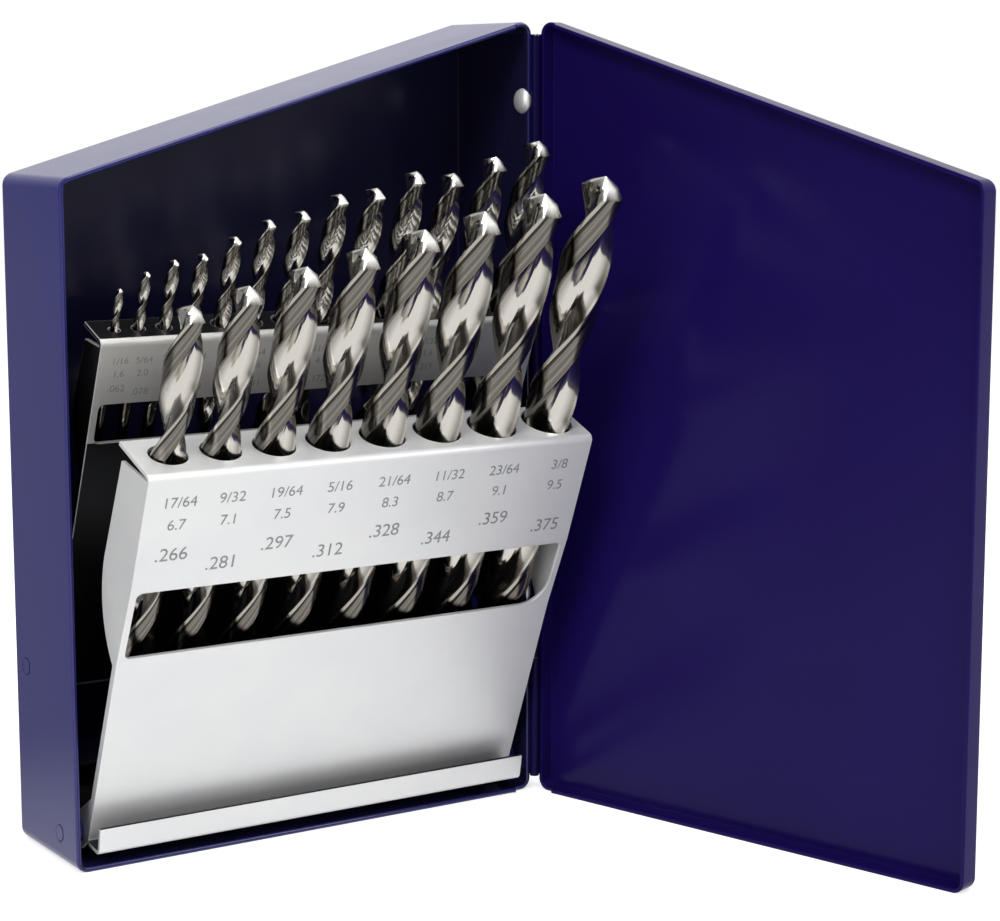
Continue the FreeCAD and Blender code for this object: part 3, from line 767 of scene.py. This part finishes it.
# %% Floor
bpy.ops.mesh.primitive_plane_add(size=4.0, location=(0, 0, 0))
floor = bpy.context.object
floor.name = "studio_floor"
floor_material, tree, shader = new_material("pale floor")
shader.inputs["Base Color"].default_value = (0.9, 0.9, 0.9, 1)
shader.inputs["Roughness"].default_value = 0.7
rays = tree.nodes.new("ShaderNodeLightPath").outputs
# The camera sees the floor lifted to white, and the shadow stays.
lift = add(tree, "ShaderNodeMath", {0: rays["Is Camera Ray"], 1: 0.55}, operation="MULTIPLY")
shader.inputs["Emission Color"].default_value = (1, 1, 1, 1)
tree.links.new(lift.outputs[0], shader.inputs["Emission Strength"])
# Metal and enamel see a floor that is white in front and grey behind, with no shadows on it.
where = add(tree, "ShaderNodeTexCoord").outputs["Object"]
place = add(tree, "ShaderNodeSeparateXYZ", {0: where})
glow = add(tree, "ShaderNodeMapRange", {"Value": place.outputs["Y"],
                                        "From Min": -20.0 * MM, "From Max": 80.0 * MM,
                                        "To Min": 1.0, "To Max": 0.30})
seen = add(tree, "ShaderNodeEmission", {"Color": (1, 1, 1, 1), "Strength": glow.outputs[0]})
ground = add(tree, "ShaderNodeMixShader", {0: rays["Is Glossy Ray"], 1: shader.outputs[0],
                                           2: seen.outputs[0]})
tree.links.new(ground.outputs[0], tree.nodes["Material Output"].inputs["Surface"])
floor.data.materials.append(floor_material)
print("floor:", floor.name)

# %% [markdown]
# ## Studio room
# Metal shows little but its surroundings, so they matter more than the lamps. A picture of a
# real studio could surround the object, but a few sums on the direction of a ray draw a simpler
# one: the camera sees white, matt surfaces are lit at a plain level, and metal and enamel mirror
# a room that is dim in front and white behind, with one tall panel.

# %% World
world = bpy.data.worlds.new("studio")
bpy.context.scene.world = world
world.use_nodes = True
tree = world.node_tree
tree.nodes.clear()
rays = tree.nodes.new("ShaderNodeLightPath").outputs
direction = add(tree, "ShaderNodeTexCoord").outputs["Generated"]
facing = add(tree, "ShaderNodeSeparateXYZ", {0: direction})
# The room in front of the table is dim and the sweep behind it is white, so polished metal
# shows both.
across = add(tree, "ShaderNodeMath", {0: facing.outputs["Y"], 1: 0.6, 2: facing.outputs["X"]},
             operation="MULTIPLY_ADD")
across = add(tree, "ShaderNodeMath", {0: facing.outputs["Z"], 1: 0.7, 2: across.outputs[0]},
             operation="MULTIPLY_ADD")
sweep = add(tree, "ShaderNodeMapRange", {"Value": across.outputs[0],
                                         "From Min": 0.04, "From Max": 1.2,
                                         "To Min": 0.14, "To Max": 1.0})
# A tall white panel stands to the left and puts a bright line on every upright fold.
toward = add(tree, "ShaderNodeVectorMath", {0: direction, 1: (-0.93, -0.37, 0.0)},
             operation="DOT_PRODUCT")
panel = add(tree, "ShaderNodeMapRange", {"Value": toward.outputs["Value"],
                                         "From Min": 0.86, "From Max": 0.95,
                                         "To Min": 0.0, "To Max": 1.2})
room = add(tree, "ShaderNodeMath", {0: sweep.outputs[0], 1: panel.outputs[0]}, operation="MAXIMUM")
plain = add(tree, "ShaderNodeBackground", {"Color": (1, 1, 1, 1), "Strength": 0.42})
mirrored = add(tree, "ShaderNodeBackground", {"Color": (1, 1, 1, 1),
                                              "Strength": room.outputs[0]})
shown = add(tree, "ShaderNodeBackground", {"Color": (1, 1, 1, 1), "Strength": 1.0})
to_metal = add(tree, "ShaderNodeMixShader", {0: rays["Is Glossy Ray"], 1: plain.outputs[0],
                                             2: mirrored.outputs[0]})
mix = add(tree, "ShaderNodeMixShader", {0: rays["Is Camera Ray"], 1: to_metal.outputs[0],
                                        2: shown.outputs[0]})
add(tree, "ShaderNodeOutputWorld", {"Surface": mix.outputs[0]})
print("world:", len(tree.nodes), "nodes")

# %% [markdown]
# ## Lamps
# Three soft boxes stand round the table: a strong one to the left, a weaker one to the right and
# one overhead. A sun lamp would be simpler, but its shadows are hard, and a large square lamp
# gives the soft ones of a studio.


# %% Three area lamps
def area_lamp(name, place, target, size, power):
    """A square lamp at a place, turned to its target; size in metres, power in watts."""
    lamp = bpy.data.lights.new(name, "AREA")
    lamp.size = size
    lamp.energy = power
    thing = bpy.data.objects.new(name, lamp)
    thing.location = place
    thing.rotation_euler = (Vector(target) - Vector(place)).to_track_quat("-Z", "Y").to_euler()
    bpy.context.scene.collection.objects.link(thing)
    print(name, "lamp,", power, "W")


MIDDLE = (0, 0, 0.08)
area_lamp("key", (-0.9, -0.7, 0.9), MIDDLE, 0.5, 8.0)
area_lamp("fill", (0.8, -1.0, 0.6), MIDDLE, 0.7, 6.0)
area_lamp("top", (0.0, -0.3, 1.1), (0, 0, 0.1), 0.5, 5.0)

# %% [markdown]
# ## Camera
# The camera stands about half a metre away, near the height of the case's top, a little to the
# left. A longer lens from further off would flatten the case, and this one keeps the depth that
# the eye expects at arm's length.

# %% Camera
SENSOR = 36.0
LENS_PER_WIDTH = 2.429
DOWN, ROUND = math.radians(8.71), math.radians(33.11)
camera = bpy.data.cameras.new("camera")
camera.sensor_width = SENSOR
camera.lens = SENSOR * LENS_PER_WIDTH
viewer = bpy.data.objects.new("camera", camera)
viewer.location = (-0.2226, -0.4209, 0.1445)
viewer.rotation_euler = (math.pi / 2 - DOWN, 0.0, -ROUND)
bpy.context.scene.collection.objects.link(viewer)
bpy.context.scene.camera = viewer
bpy.context.scene.view_settings.view_transform = "Standard"
print("camera: lens", round(camera.lens, 1), "mm")
